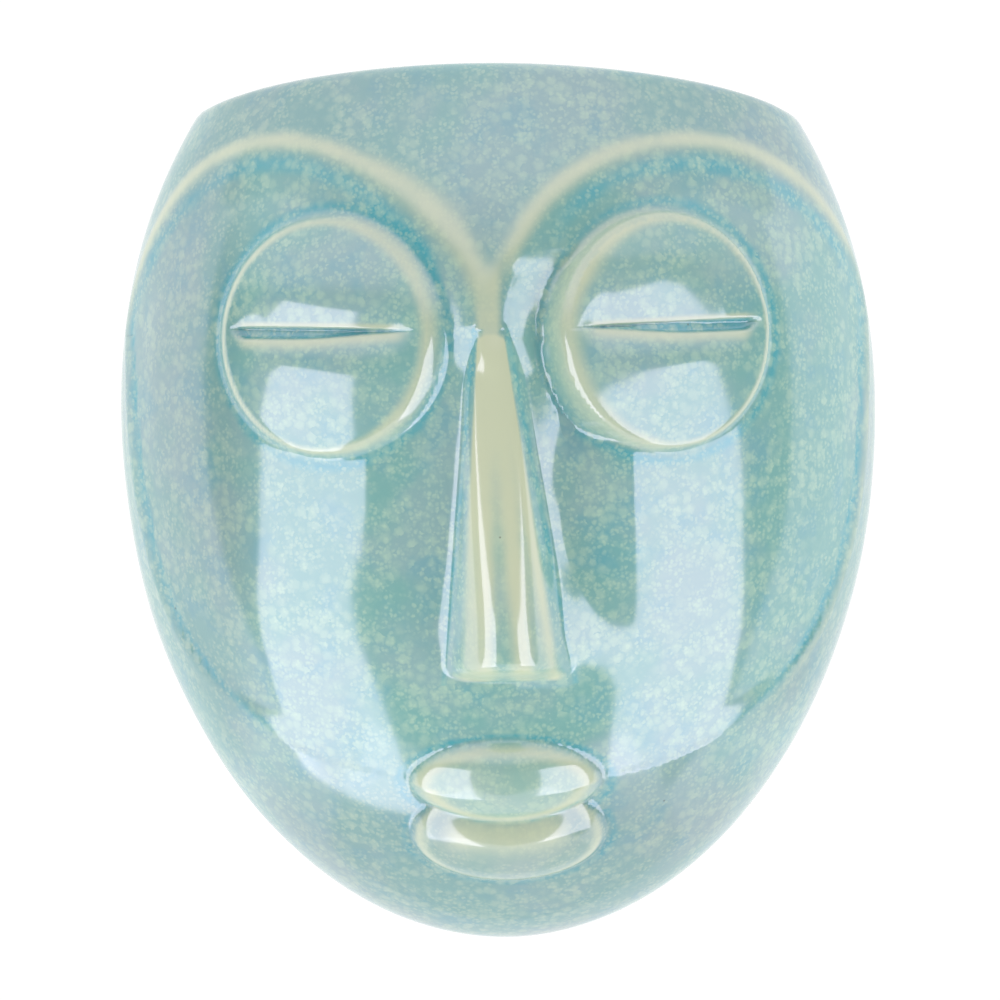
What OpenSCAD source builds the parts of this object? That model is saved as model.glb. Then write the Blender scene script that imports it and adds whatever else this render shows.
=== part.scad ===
// Face wall planter: a slip-cast, glazed pot shaped as a calm mask, hung by a keyhole on one wall screw.
// Millimetres, +Z up. The wall is the plane y = 0 and the face looks towards -Y.
// The origin is the axis of the hanging screw where it enters the wall.

/* [Pot] */
// Overall width at the widest level
pot_w = 155; // [130:1:190]
// Overall height, from the chin to the rim's crest
pot_h = 179; // [165:1:200]
// Depth of the egg, from the flat back to the foremost swell of the face
pot_d = 85; // [75:1:95]
// Height at which the egg outline would close above its widest level
crown_rise = 96; // [88:1:115]
// Fullness of the half behind the widest section
back_swell = 68; // [55:1:90]
// Distance from the flat back to the widest section
girth_depth = 25; // [18:1:32]
// Forward lean of the face, in degrees
lean = 3; // [0:0.5:6]
// Height of the keyhole above the widest level
hang_rise = 40; // [30:1:45]
// Thickness of the ceramic wall
wall_t = 6; // [5:0.5:8]
// Thickness of the flat back
back_t = 7; // [5:0.5:9]

/* [Rim] */
// Height of the rim's crest above the widest level
rim_crest = 69; // [64:1:78]
// How far the rim falls from its crest to its corners
rim_fall = 13; // [8:0.5:18]
// Half the width of the arch that the rim follows
rim_half_w = 62.5; // [58:0.5:72]
// Tilt of the rim, down to the face's left, as the photograph shows it on the right
rim_tilt = 1; // [-3:0.5:3]

/* [Brow and cheeks] */
// Radius of the brow arch over each eye
brow_r = 36; // [32:0.5:37]
// Distance of each brow arch's centre from the middle
brow_x = 38.6; // [35:0.2:39]
// Height of the brow arches' centres above the widest level
brow_rise = 16; // [10:0.5:22]
// Drop of the jaw line below the brow arches' centres
jaw_drop = 93.5; // [85:0.5:105]
// Squareness of the jaw line, 2 for an ellipse
jaw_power = 2.7; // [2:0.1:3.2]
// Depth of the face below the forehead
face_sink = 2.4; // [1.5:0.1:3]
// Height at which the step starts to run out, against the widest level
step_fade_top = -30; // [-45:1:-15]
// Height at which the step has run out, against the widest level
step_fade_end = -68; // [-80:1:-60]

/* [Eyes] */
// Diameter of an eye disc
eye_d = 48; // [40:0.5:50]
// Distance of each eye's centre from the middle
eye_x = 35.5; // [33:0.5:37]
// Height of the eyes' centres above the widest level
eye_rise = 14; // [8:0.5:18]
// Height of the disc's dome over its edge
eye_dome = 3.6; // [2.5:0.1:5]
// Radius of the disc's rounded edge
eye_edge_r = 1.8; // [0.6:0.1:2]
// Length of the closed slit
slit_len = 36; // [28:0.5:40]
// Width of the closed slit
slit_w = 1.8; // [1.2:0.1:2.6]
// Shift of the slit towards the nose
slit_shift = 1.5; // [0:0.5:3]
// Fall of the slit towards the nose, in degrees
slit_fall = 2; // [0:0.5:5]
// Width of the pair of lids that swell along the slit
lids_w = 8; // [6:0.5:10]
// How far the lids swell over the dome
lids_swell = 0.7; // [0.3:0.1:1.2]

/* [Nose] */
// Height of the nose's root above the widest level
nose_root_rise = 20; // [14:0.5:24]
// Drop of the nose's blunt end below the widest level
nose_end_drop = 57.6; // [50:0.5:62]
// Width of the nose at its root
nose_root_w = 5.8; // [4:0.2:8]
// Width of the nose's front at its blunt end
nose_tip_w = 21.4; // [16:0.2:26]
// Width of the nose where its blunt end meets the face
nose_foot_w = 25.2; // [20:0.2:30]
// How far the blunt end stands out from the face
nose_stand = 13; // [9:0.5:16]
// Radius of the nose's edges
nose_edge_r = 1.6; // [1:0.1:2.2]
// Turn of the nose, with its root towards the left eye, in degrees
nose_turn = 2; // [0:0.5:4]

/* [Mouth] */
// Width of the lips
lip_w = 39.6; // [32:0.2:46]
// Drop of the upper lip's middle below the widest level
upper_lip_drop = 77; // [72:0.5:82]
// Height of the upper lip
upper_lip_h = 15.4; // [12:0.2:18]
// Drop of the lower lip's middle below the widest level
lower_lip_drop = 87; // [84:0.5:90]
// Height of the lower lip, with the stretch behind the upper one
lower_lip_h = 21; // [18:0.2:24]
// How far the upper lip stands out from the face
upper_lip_stand = 6; // [4:0.2:8]
// How far the lower lip stands out from the face
lower_lip_stand = 5.2; // [3.5:0.2:7]

/* [Hanging] */
// Diameter of the wall screw's shank
screw_d = 4.5; // [3.5:0.1:5]
// Length of the wall screw under its head
screw_len = 40; // [35:1:50]
// Diameter of the wall screw's head
head_d = 9; // [8:0.1:10]
// Height of the wall screw's head
head_h = 2.8; // [2:0.1:3.5]
// Length of the wall screw's point
point_len = 5; // [3:0.5:8]
// Gap between the screw's head and the inside of the back
head_gap = 0.6; // [0.4:0.1:1]
// Clearance round the shank in the keyhole's slot
slot_clear = 0.3; // [0.2:0.05:0.6]
// Clearance round the head in the keyhole's entry
entry_clear = 1; // [0.5:0.1:2]
// Lift from the slot's seat to the entry
entry_drop = 10; // [9:0.5:14]
// Diameter of the wall plug, and of the hole drilled for it
plug_d = 8; // [7:0.5:10]
// Length of the wall plug in the wall
plug_len = 40; // [36:1:50]
// Diameter of the wall plug's collar
collar_d = 11; // [10:0.5:13]
// Thickness of the wall plug's collar
collar_t = 0.8; // [0.5:0.1:1.2]
// Clearance between the screw and the wall plug's bore
plug_clear = 0.05; // [0.02:0.01:0.1]
// Width of the slits that let the wall plug spread
plug_slit_w = 1.2; // [0.8:0.1:1.6]
// Length of those slits from the plug's inner end
plug_slit_len = 18; // [10:1:19]

/* [Wall pads] */
// Diameter of a wall pad
pad_d = 10; // [8:0.5:14]
// Thickness of a wall pad
pad_t = 2; // [1.5:0.1:3]
// Distance of the upper pads from the middle
pad_upper_x = 44; // [36:1:48]
// Height of the upper pads above the screw
pad_upper_rise = 4; // [0:1:8]
// Distance of the lower pads from the middle
pad_lower_x = 38; // [30:1:44]
// Drop of the lower pads below the screw
pad_lower_drop = 100; // [80:1:110]

/* [Hidden] */

glaze = [0.59, 0.77, 0.75];
steel = [0.72, 0.72, 0.74];
nylon = [0.62, 0.63, 0.64];
clear_rubber = [0.88, 0.89, 0.88];

half_w = pot_w / 2;
chin_drop = pot_h - rim_crest;
face_swell = pot_d - girth_depth;
girth_z = -hang_rise;
lean_k = tan(lean);
reach = 3 * pot_w;
bury = 4;

shank_r = screw_d / 2;
slot_r = shank_r + slot_clear;
entry_r = head_d / 2 + entry_clear;
seat_y = -(pad_t + back_t + head_gap);
plug_bore_r = shank_r + plug_clear;

// Shape of the glazed skin, as functions of x and of the height h above the widest level

function outline_semi(h) = h >= 0 ? crown_rise : chin_drop;
function swell(x, h) = sqrt(max(0, 1 - pow(x / half_w, 2) - pow(h / outline_semi(h), 2)));
function girth_y(h) = -(pad_t + girth_depth + lean_k * h);
function skin(x, h) = [x, girth_y(h) - face_swell * swell(x, h), girth_z + h];
function unit(v) = v / norm(v);
function skin_normal(x, h) =
    let (forward = swell(x, h) / face_swell)
    unit([x / pow(half_w, 2), -forward, h / pow(outline_semi(h), 2) - lean_k * forward]);
function off_skin(p, out) = skin(p[0], p[1]) + out * skin_normal(p[0], p[1]);
function yaw(n) = atan2(n[0], -n[1]);
function pitch(n) = asin(-n[2]);

// Egg body: four quarters of ellipsoids that share the widest section

module egg_quarter(semi, in_front, above, egg_facets) {
    block = 2;
    scale(semi)
        intersection() {
            sphere(r = 1, $fn = egg_facets);
            translate([-block / 2, in_front ? -block : 0, above ? 0 : -block])
                cube(block);
        }
}

module egg(inset, egg_facets) {
    multmatrix([[1, 0, 0, 0], [0, 1, -lean_k, girth_y(0)], [0, 0, 1, girth_z], [0, 0, 0, 1]])
        for (in_front = [true, false], above = [true, false])
            egg_quarter([half_w - inset,
                         (in_front ? face_swell : back_swell) - inset,
                         (above ? crown_rise : chin_drop) - inset], in_front, above, egg_facets);
}

module behind(y) {
    translate([-reach / 2, y, -reach / 2])
        cube(reach);
}

module above_rim() {
    translate([0, 0, girth_z + rim_crest])
        rotate([0, rim_tilt, 0])
            translate([0, 0, -rim_fall])
                difference() {
                    translate([-reach / 2, -reach / 2, 0])
                        cube(reach);
                    scale([rim_half_w, 1, rim_fall])
                        rotate([90, 0, 0])
                            cylinder(r = 1, h = 2 * reach, center = true, $fn = 96);
                }
}

// Sunk face: a heart whose edge runs over both brows and down the jaw, cut into the skin along its
// own normals, with a floor that rises to the skin at the lower cheeks

brow_steps = 22;
jaw_steps = 14;
sink_rings = 7;
brow_start = 8;
jaw_end = 90;
sink_cap = 5;
sink_runout = 0.5;
sink_centre = [0, -20];

function brow_point(turn) = [brow_x - brow_r * cos(turn), brow_rise + brow_r * sin(turn)];
function jaw_point(turn) = [(brow_x + brow_r) * pow(max(0, cos(turn)), 2 / jaw_power),
                            brow_rise - jaw_drop * pow(sin(turn), 2 / jaw_power)];
heart_half = concat(
    [for (i = [0:brow_steps]) brow_point(brow_start + i * (180 - brow_start) / brow_steps)],
    [for (i = [1:jaw_steps]) jaw_point(i * jaw_end / jaw_steps)]);
heart = concat(heart_half,
    [for (i = [len(heart_half) - 2:-1:0]) [-heart_half[i][0], heart_half[i][1]]]);

function sink_at(h) =
    let (share = min(1, max(0, (h - step_fade_end) / (step_fade_top - step_fade_end))))
    share * (face_sink + sink_runout) - sink_runout;
function heart_point(i, ring) =
    sink_centre + (heart[i] - sink_centre) * ring / sink_rings;

module face_sinker() {
    n = len(heart);
    floor_points = [for (ring = [1:sink_rings], i = [0:n - 1])
        let (p = heart_point(i, ring)) off_skin(p, -sink_at(p[1]))];
    cap_points = [for (ring = [1:sink_rings], i = [0:n - 1])
        off_skin(heart_point(i, ring), sink_cap)];
    m = len(floor_points);
    floor_middle = 2 * m;
    cap_middle = 2 * m + 1;
    faces = concat(
        [for (i = [0:n - 1]) [floor_middle, (i + 1) % n, i]],
        [for (i = [0:n - 1]) [cap_middle, m + i, m + (i + 1) % n]],
        [for (ring = [0:sink_rings - 2], i = [0:n - 1], half = [0, 1])
            let (a = ring * n + i, b = ring * n + (i + 1) % n)
            half == 0 ? [a, b, b + n] : [a, b + n, a + n]],
        [for (ring = [0:sink_rings - 2], i = [0:n - 1], half = [0, 1])
            let (a = m + ring * n + i, b = m + ring * n + (i + 1) % n)
            half == 0 ? [b, a, a + n] : [b, a + n, b + n]],
        [for (i = [0:n - 1], half = [0, 1])
            let (a = m - n + i, b = m - n + (i + 1) % n)
            half == 0 ? [a, b, b + m] : [a, b + m, a + m]]);
    polyhedron(concat(floor_points, cap_points,
        [off_skin(sink_centre, -sink_at(sink_centre[1])), off_skin(sink_centre, sink_cap)]), faces);
}

// Eye: a domed disc square to the skin, with a rounded edge and a closed slit between swollen lids

module lid_arc(bend_r, tube_r, tube_facets) {
    turn = slit_len / bend_r * 180 / PI;
    shift = slit_shift / bend_r * 180 / PI;
    rotate(a = -120, v = [1, 1, 1])
        rotate([0, 0, -turn / 2 - shift]) {
            rotate_extrude(angle = turn, $fn = 120)
                translate([bend_r, 0])
                    circle(r = tube_r, $fn = tube_facets);
            for (end = [0, turn])
                rotate([0, 0, end])
                    translate([bend_r, 0, 0])
                        sphere(r = tube_r, $fn = tube_facets);
        }
}

module right_eye() {
    disc_r = eye_d / 2;
    dome_r = (pow(disc_r, 2) + pow(eye_dome, 2)) / (2 * eye_dome);
    dome_z = eye_dome - dome_r;
    dome_turn = asin((disc_r - eye_edge_r) / (dome_r - eye_edge_r));
    edge_z = dome_z + (dome_r - eye_edge_r) * cos(dome_turn);
    lids_r = (pow(lids_w / 2, 2) + pow(lids_swell, 2)) / (2 * lids_swell);
    n = skin_normal(eye_x, eye_rise);
    translate(off_skin([eye_x, eye_rise], -sink_at(eye_rise)))
        rotate([pitch(n), 0, yaw(n)])
            rotate([90, 0, 0])
                difference() {
                    union() {
                        rotate_extrude($fn = 64)
                            polygon(concat([[0, -bury], [disc_r, -bury]],
                                [for (i = [0:3]) let (turn = i * (90 - dome_turn) / 3)
                                    [disc_r - eye_edge_r + eye_edge_r * cos(turn), edge_z + eye_edge_r * sin(turn)]],
                                [for (i = [1:6]) let (turn = dome_turn * (1 - i / 6))
                                    [dome_r * sin(turn), dome_z + dome_r * cos(turn)]]));
                        intersection() {
                            translate([0, 0, dome_z])
                                rotate([0, 0, slit_fall])
                                    lid_arc(dome_r + lids_swell - lids_r, lids_r, 48);
                            translate([0, 0, -bury])
                                cylinder(r = disc_r - eye_edge_r, h = bury + eye_dome + lids_swell, $fn = 64);
                        }
                    }
                    translate([0, 0, dome_z])
                        rotate([0, 0, slit_fall])
                            lid_arc(dome_r + lids_swell, slit_w / 2, 12);
                }
}

// Nose: a wedge with rounded edges that widens and stands out towards its blunt end

module nose() {
    root_y = skin(0, nose_root_rise)[1];
    floor_y = skin(0, -nose_end_drop)[1] + sink_at(-nose_end_drop);
    end_z = girth_z - nose_end_drop + nose_edge_r;
    root_z = girth_z + nose_root_rise;
    middle_z = (root_z + end_z) / 2;
    translate([0, 0, middle_z])
        rotate([0, -nose_turn, 0])
            translate([0, 0, -middle_z])
                nose_wedge(root_y, root_z, floor_y, end_z);
}

module nose_wedge(root_y, root_z, floor_y, end_z) {
    hull()
        for (side = [-1, 1]) {
            translate([side * (nose_root_w / 2 - nose_edge_r), root_y + nose_edge_r, root_z])
                sphere(r = nose_edge_r, $fn = 16);
            translate([side * (nose_root_w / 2 - nose_edge_r), root_y + face_sink + bury, root_z])
                sphere(r = nose_edge_r, $fn = 16);
            translate([side * (nose_tip_w / 2 - nose_edge_r), floor_y - nose_stand + nose_edge_r, end_z])
                sphere(r = nose_edge_r, $fn = 16);
            translate([side * (nose_foot_w / 2 - nose_edge_r), floor_y + bury, end_z])
                sphere(r = nose_edge_r, $fn = 16);
        }
}

// Lip: an ellipsoid sunk into the skin and tipped to lie along it

module lip(drop, high, stand) {
    n = skin_normal(0, -drop);
    translate(skin(0, -drop))
        rotate([pitch(n), 0, 0])
            translate([0, bury, 0])
                scale([lip_w / 2, stand + bury, high / 2 / cos(pitch(n))])
                    sphere(r = 1, $fn = 40);
}

module keyhole() {
    through = pad_t + back_t + head_gap;
    rotate([90, 0, 0]) {
        cylinder(r = slot_r, h = through, $fn = 48);
        translate([-slot_r, -entry_drop, 0])
            cube([2 * slot_r, entry_drop, through]);
        translate([0, -entry_drop, 0])
            cylinder(r = entry_r, h = through, $fn = 64);
    }
}

// Sculpted pot without its keyhole: the egg with its sunk face, eyes, nose and lips, hollowed and cut

module cast() {
    difference() {
        union() {
            difference() {
                egg(0, 64);
                face_sinker();
            }
            right_eye();
            mirror([1, 0, 0])
                right_eye();
            nose();
            lip(upper_lip_drop, upper_lip_h, upper_lip_stand);
            lip(lower_lip_drop, lower_lip_h, lower_lip_stand);
        }
        difference() {
            egg(wall_t, 40);
            behind(-pad_t - back_t);
        }
        behind(-pad_t);
        above_rim();
    }
}

// The faceted egg comes out a hair narrow, so the cast is drawn out to its true width
module pot() {
    color(glaze)
        difference() {
            resize([pot_w, 0, 0])
                cast();
            keyhole();
        }
}

module wall_screw() {
    head_r = head_d / 2;
    crown_r = (pow(head_r, 2) + pow(head_h, 2)) / (2 * head_h);
    crown_turn = asin(head_r / crown_r);
    color(steel)
        rotate([-90, 0, 0])
            translate([0, 0, seat_y])
                rotate_extrude($fn = 64)
                    polygon(concat(
                        [for (i = [0:8]) let (turn = crown_turn * i / 8)
                            [crown_r * sin(turn), crown_r - head_h - crown_r * cos(turn)]],
                        [[shank_r, 0], [shank_r, screw_len - point_len], [0, screw_len]]));
}

module wall_plug() {
    color(nylon)
        rotate([-90, 0, 0])
            difference() {
                union() {
                    translate([0, 0, -collar_t])
                        cylinder(d = collar_d, h = collar_t, $fn = 64);
                    cylinder(d = plug_d, h = plug_len, $fn = 64);
                }
                translate([0, 0, -2 * collar_t])
                    cylinder(r = plug_bore_r, h = plug_len, $fn = 48);
                for (turn = [0, 90])
                    rotate([0, 0, turn])
                        translate([-plug_d, -plug_slit_w / 2, plug_len - plug_slit_len])
                            cube([2 * plug_d, plug_slit_w, 2 * plug_slit_len]);
            }
}

module pad(x, z) {
    color(clear_rubber)
        translate([x, 0, z])
            rotate([90, 0, 0])
                cylinder(d = pad_d, h = pad_t, $fn = 64);
}

pot();
wall_screw();
wall_plug();
pad(-pad_upper_x, pad_upper_rise);  // pad_upper_left
pad(pad_upper_x, pad_upper_rise);  // pad_upper_right
pad(-pad_lower_x, -pad_lower_drop);  // pad_lower_left
pad(pad_lower_x, -pad_lower_drop);  // pad_lower_right
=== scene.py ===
import math

import bpy
import numpy as np
from mathutils import Matrix, Vector, kdtree


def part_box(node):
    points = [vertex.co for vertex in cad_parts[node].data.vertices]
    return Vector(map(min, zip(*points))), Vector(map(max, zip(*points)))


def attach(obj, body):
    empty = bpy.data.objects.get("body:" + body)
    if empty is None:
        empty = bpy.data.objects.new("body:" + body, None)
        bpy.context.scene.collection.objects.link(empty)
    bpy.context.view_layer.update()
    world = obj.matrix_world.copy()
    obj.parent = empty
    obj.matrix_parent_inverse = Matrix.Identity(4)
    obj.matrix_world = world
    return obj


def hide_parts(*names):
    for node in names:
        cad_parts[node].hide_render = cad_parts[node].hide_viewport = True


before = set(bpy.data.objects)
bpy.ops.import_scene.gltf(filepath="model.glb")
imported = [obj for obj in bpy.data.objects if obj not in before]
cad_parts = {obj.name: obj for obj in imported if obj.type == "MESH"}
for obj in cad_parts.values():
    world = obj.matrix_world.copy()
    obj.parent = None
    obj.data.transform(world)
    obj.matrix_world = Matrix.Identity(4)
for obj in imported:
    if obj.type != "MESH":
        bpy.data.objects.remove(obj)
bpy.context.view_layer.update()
bpy.ops.object.select_all(action="DESELECT")

MM = 0.001

# Pot: an egg hollowed to a wall, cut flat behind and cut to an arch above, in millimetres.
# Heights written h are measured from the widest level, and the face looks towards -Y.
pot_low, pot_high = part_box("pot")
HALF_W = (pot_high.x - pot_low.x) / 2 / MM
BACK_Y = pot_high.y / MM
GIRTH_Z = -40.0
CHIN_DROP = 110.0
CROWN_RISE = 96.0
FACE_SWELL = 60.0
BACK_SWELL = 68.0
GIRTH_DEPTH = 25.0
LEAN = math.tan(math.radians(3))
WALL = 6.0
BACK_WALL = 7.0
BACK_EDGE = 2.5
RIM_CREST = 69.0
RIM_TILT = math.tan(math.radians(1))
RIM_FALL = 13.6
RIM_HALF_W = 64.5
LIP_ROUND = 2.4

# In the blocks below, heights, distances and shares in pairs are where a change starts and where it ends,
# and a name that ends in _AT gives a place and a width. Of two sides, -1 is the left one in the photograph.

# Sunk face: its edge runs over two brows, drawn from each brow's centre, and down a squarish jaw
FACE_SINK = 1.3
STEP_FADE = (-82.0, -50.0)
STEP_FROM = -2.0
BROW_CENTRE = {-1: (40.9, 15.8), 1: (38.8, 13.5)}
BROW_R = {-1: 34.8, 1: 37.0}
BROW_SAG = {-1: 2.0, 1: 0.0}
BROW_SAG_TURN = math.radians(110)
BROW_SPREAD = {-1: 1.53, 1: -0.3}
BROW_SPREAD_TURN = (math.radians(135), math.radians(180))
BROW_POINTS = 300
BROW_END_H = 14.5
BROW_PAST_MIDDLE = 4.0
BROW_MEETING = 3.0
BROW_FROM_H = (5.0, 32.0)
BROW_INNER_X = (20.0, 34.0)
BROW_RIDGE = 0.3
BROW_RIDGE_AT = (-2.4, 2.6)
BROW_STEP = 11.0
SIDE_STEP = 5.0
BRIDGE_HALF_W = (0.9, 3.6)
BRIDGE_FOOT_H = (2.0, 10.0)
BRIDGE_TOP_H = (18.0, 30.0)
BRIDGE_OUT = 1.5
JAW_HALF_W = 75.5
JAW_DROP = 93.5
JAW_POWER = 2.7
JAW_CENTRE_H = 16.0
JAW_END_DEGREES = 60
JAW_POINTS = 260
JAW_RELIEF_H = (-64.0, -46.0)
JAW_GROOVE = 0.55
JAW_GROOVE_AT = (0.7, 1.1)
JAW_RIDGE = 0.3
JAW_RIDGE_AT = (-1.9, 1.8)
HOLLOW_FROM = {-1: 3.5, 1: -2.2}
HOLLOW_REACH = {-1: 6.5, 1: 11.0}
HOLLOW_SLOPE = {-1: 0.26, 1: 0.36}
HOLLOW_TOP_H = {-1: 32.0, 1: 40.0}
HOLLOW_CAP_H = {-1: (30.0, 34.0), 1: (26.0, 32.0)}
HOLLOW_FULL_H = 13.0
HOLLOW_LOW_H = -12.0
HOLLOW_LOW_REACH = 0.75
HOLLOW_WIDER = {-1: 0.0, 1: 7.0}
HOLLOW_WIDER_AT = (-2.0, 12.0)
HOLLOW_FADE = (-60.0, -14.0)
HOLLOW_END_X = (14.0, 28.0)
HOLLOW_OFF_NOSE = 0.55
HOLLOW_OFF_NOSE_DROP = (-16.0, 26.0)
HOLLOW_BLEND = (1.5, 2.0)
HOLLOW_PAST_MIDDLE = 6.0
CHEEK_SWELL = {-1: 2.0, 1: 0.6}
CHEEK_PLACE = (48.0, -40.0)
CHEEK_SPREAD = 19.0
HAND_WAVE = 0.07
HAND_WAVE_STEPS = (7.3, 8.9, 11.7, 13.1)
HAND_WAVE_STARTS = (0.6, 1.9)

# Glaze on the sunk face: cream where it runs thin over brows and jaw, blue where it pools inside them,
# and painted shade, a darker, greyer glaze, outside the face at its sides and chin and on the left side
BROW_CREAM = 0.74
BROW_CREAM_W = 1.3
BROW_CREAM_HIGH_W = 1.1
BROW_CREAM_HIGH_H = (12.0, 44.0)
BROW_CREAM_INNER_W = (1.8, 1.4)
BROW_CREAM_INNER_X = (8.0, 34.0)
BROW_CREAM_RIGHT_X = (-7.0, 4.0)
BROW_CREAM_OUT = (0.4, 0.8)
BROW_END_LOSS = 0.56
BROW_END_X = (-0.5, 2.0)
BROW_END_FADE_H = (20.0, 34.0)
BROW_POOL = 0.62
BROW_POOL_X = (8.0, 17.0)
BROW_POOL_AT = (2.8, 2.4)
JAW_CREAM = {-1: 0.15, 1: 0.45}
JAW_CREAM_AT = (-1.8, 1.3)
JAW_POOL = 0.8
JAW_POOL_AT = (0.8, 1.3)
POOL_SPOTS = ((0.5, (-3.0, 14.3), (1.6, 1.2)), (0.35, (22.0, -28.0), (8.0, 16.0)))
# Painted shade: darker, greyer glaze outside the face at the sides and chin and on the left side, less
# towards the outline, none on the forehead
PAINTED_SHADE_OUTSIDE = (-5.0, 3.0)
PAINTED_SHADE_SIDE_H = (-72.0, -56.0)
PAINTED_SHADE_CHIN_H = (-90.0, -66.0)
PAINTED_SHADE_LEFT = 0.9
PAINTED_SHADE_LEFT_X = (46.0, 58.0)
PAINTED_SHADE_AT_EDGE = 0.4
PAINTED_SHADE_EDGE_SHARE = (0.9, 1.0)
UNSHADED_FOREHEAD = ((0.0, 55.0), (42.0, 30.0))

# Eyes: domed discs square to the skin, each with a closed slit between its lids
EYE_X = 35.5
EYE_H = 13.8
EYE_R = 23.2
EYE_STRETCH = (0.985, 1.03)
EYE_DOME = {-1: 4.4, 1: 3.0}
EYE_TILT = {-1: 0.0, 1: 0.06}
EYE_WALL_SLOPE = {-1: 2.0, 1: 3.6}
EYE_EDGE_ROUND = {-1: 2.0, 1: 1.3}
EYE_FILLET = {-1: 1.0, 1: 0.9}
SLIT_V = 1.2
SLIT_FALL = math.tan(math.radians(2))
SLIT_OUTER_END = (-22.0, -16.0)
SLIT_INNER_END = (15.0, 21.0)
SLIT_H = 2.2
SLIT_RISE = (-21.5, -17.0)
SLIT_TAPER = 0.85
SLIT_TAPER_RUN = (-6.0, 20.0)
SLIT_TOP = 0.4
SLIT_LOWER_EDGE = (-0.5, 0.4)
SLIT_UPPER_EDGE = (0.1, 0.7)
SLIT_DEPTH = 1.3
SLIT_FULL_H = 1.2
SLIT_LEAST = 0.25
LID_MEETING = (0.55 * EYE_R, EYE_R)
UPPER_LID_FALL = {-1: 1.7, 1: 2.8}
UPPER_LID_REACH = {-1: 10.0, 1: 15.0}
UPPER_LID_CURVE = {-1: 2.0, 1: 1.5}
UPPER_LID_FADE = {-1: 0.0, 1: 0.75}
UPPER_LID_FADE_RUN = (-2.0, 14.0)
LOWER_LID_FALL = 1.7
LOWER_LID_REACH = 9.0

# Glaze on the eyes: cream on the rim and along the lids, blue round the rim and in the slit, and a painted
# sheen that makes the upper part of the right eye paler
EYE_NEAR = 8.0
EYE_DISC_INSET = 1.0
RIM_CREAM = 0.7
RIM_CREAM_IN = 0.4
RIM_CREAM_W = 0.8
RIM_CREAM_INNER_W = {-1: 1.1, 1: 2.2}
RIM_CREAM_INNER = (-0.2, 0.9)
RIM_CREAM_UPPER_W = 0.4
RIM_CREAM_UPPER = (0.2, 1.0)
LID_CREAM = 0.72
UPPER_LID_CREAM_AT = (0.9, 0.8)
LOWER_LID_CREAM_AT = (0.7, 1.9)
# Painted sheen: the upper part of the right eye made paler, none on the left eye
EYE_PAINTED_SHEEN = {-1: 0.0, 1: 0.2}
EYE_PAINTED_SHEEN_V = (4.0, 12.0)
RIM_POOL = 0.7
RIM_POOL_AT = (2.6, 1.4)
SLIT_POOL = 0.75

# Nose: a wedge that widens and stands out towards its blunt end, turned a little off the vertical
NOSE_TOP_H = 13.0
NOSE_END_H = -57.4
NOSE_TOP_HALF_W = 3.3
NOSE_END_HALF_W = 12.6
NOSE_TURN = math.tan(math.radians(2))
NOSE_TOP_Y = -86.5
NOSE_CREST_Y = -88.3
NOSE_CREST_H = -42.0
NOSE_END_Y = -86.6
NOSE_LEAST_STAND = 1.2
NOSE_ROUND = 0.3
NOSE_FOOT_H = -51.0
NOSE_FOOT_POWER = 6
NOSE_FOOT_MOST = 1.6
NOSE_TIP_H = (5.0, 14.5)
NOSE_TIP_POWER = 3
NOSE_TIP_MOST = 2.0
NOSE_SQUARENESS = (3.6, 2.3)
NOSE_SQUARE_RUN = (0.25, 0.85)
NOSE_FILLET = (2.6, 4.0)
NOSE_FLARE = {-1: ((1.0, 5.0), (1.4, 6.5)), 1: ((1.3, 7.0), (3.2, 18.0))}
NOSE_FLARE_FROM = 0.9
NOSE_FLARE_FOOT = (-4.0, 12.0)
NOSE_FLARE_TOP_H = (-44.0, -16.0)
NOSE_FLARE_LOW_DROP = (28.0, 52.0)

# Glaze on the nose: cream down its front, with darker runs, and blue along its foot and sides
NOSE_CREAM = 0.95
NOSE_CREAM_Q = (0.72, 0.95)
NOSE_CREAM_FOOT = (-0.6, 0.2)
NOSE_CREAM_TIP = (-1.5, 1.0)
NOSE_RUNS = 0.5
NOSE_RUNS_DROP = (0.0, 40.0)
NOSE_RUNS_TURN = 9.5
NOSE_RUNS_START = 0.8
NOSE_LOW_LOSS = 0.2
NOSE_LOW_DROP = (30.0, 55.0)
NOSE_EDGE_CREAM = 0.25
NOSE_EDGE_CREAM_AT = (0.7, 0.14)
NOSE_END_CREAM = 0.3
NOSE_END_CREAM_AT = (1.0, 0.9)
NOSE_SIDE_POOL = 0.55
NOSE_SIDE_POOL_Q = 1.08
NOSE_SIDE_POOL_W = 0.8
NOSE_SIDE_POOL_PAST = (1.0, 2.0)
NOSE_END_POOL = 0.3
NOSE_END_POOL_DROP = (0.3, 1.5)
NOSE_END_POOL_FADE = (60.0, 66.0)
NOSE_END_POOL_Q = (0.8, 1.3)

# Lips, as seen from the front: the full upper one overlaps the lower one
LIP_NORMAL_H = -80.0
UPPER_LIP = (0.05, -77.3, 19.7, 7.85)
LOWER_LIP = (0.5, -87.8, 20.0, 10.0)
LIP_STAND = 6.2
LIP_ROOT = 1.2
LIP_PEAK = 0.36
LIP_PEAK_ROUND = 0.1
LIP_PARTING = 0.68
LIP_PARTING_RUN = (0.85, 1.35)
LIP_FILLET = 0.6
LIP_OVERLAP = 0.3

# Glaze on the lips: thin on their fronts and rims, blue between and round them, a painted highlight on the
# middle of the lower lip's top, and painted shade on the lower lip but none on the upper one
LIP_EDGE = (0.93, 1.0)
LIP_UNDER = (0.88, 0.97)
UPPER_LIP_CREAM = 0.36
UPPER_LIP_RIM_CREAM = 0.4
UPPER_LIP_RIM_RHO = (0.78, 0.88)
UPPER_LIP_RIM_W = 0.1
LOWER_LIP_CREAM = 0.28
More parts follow.
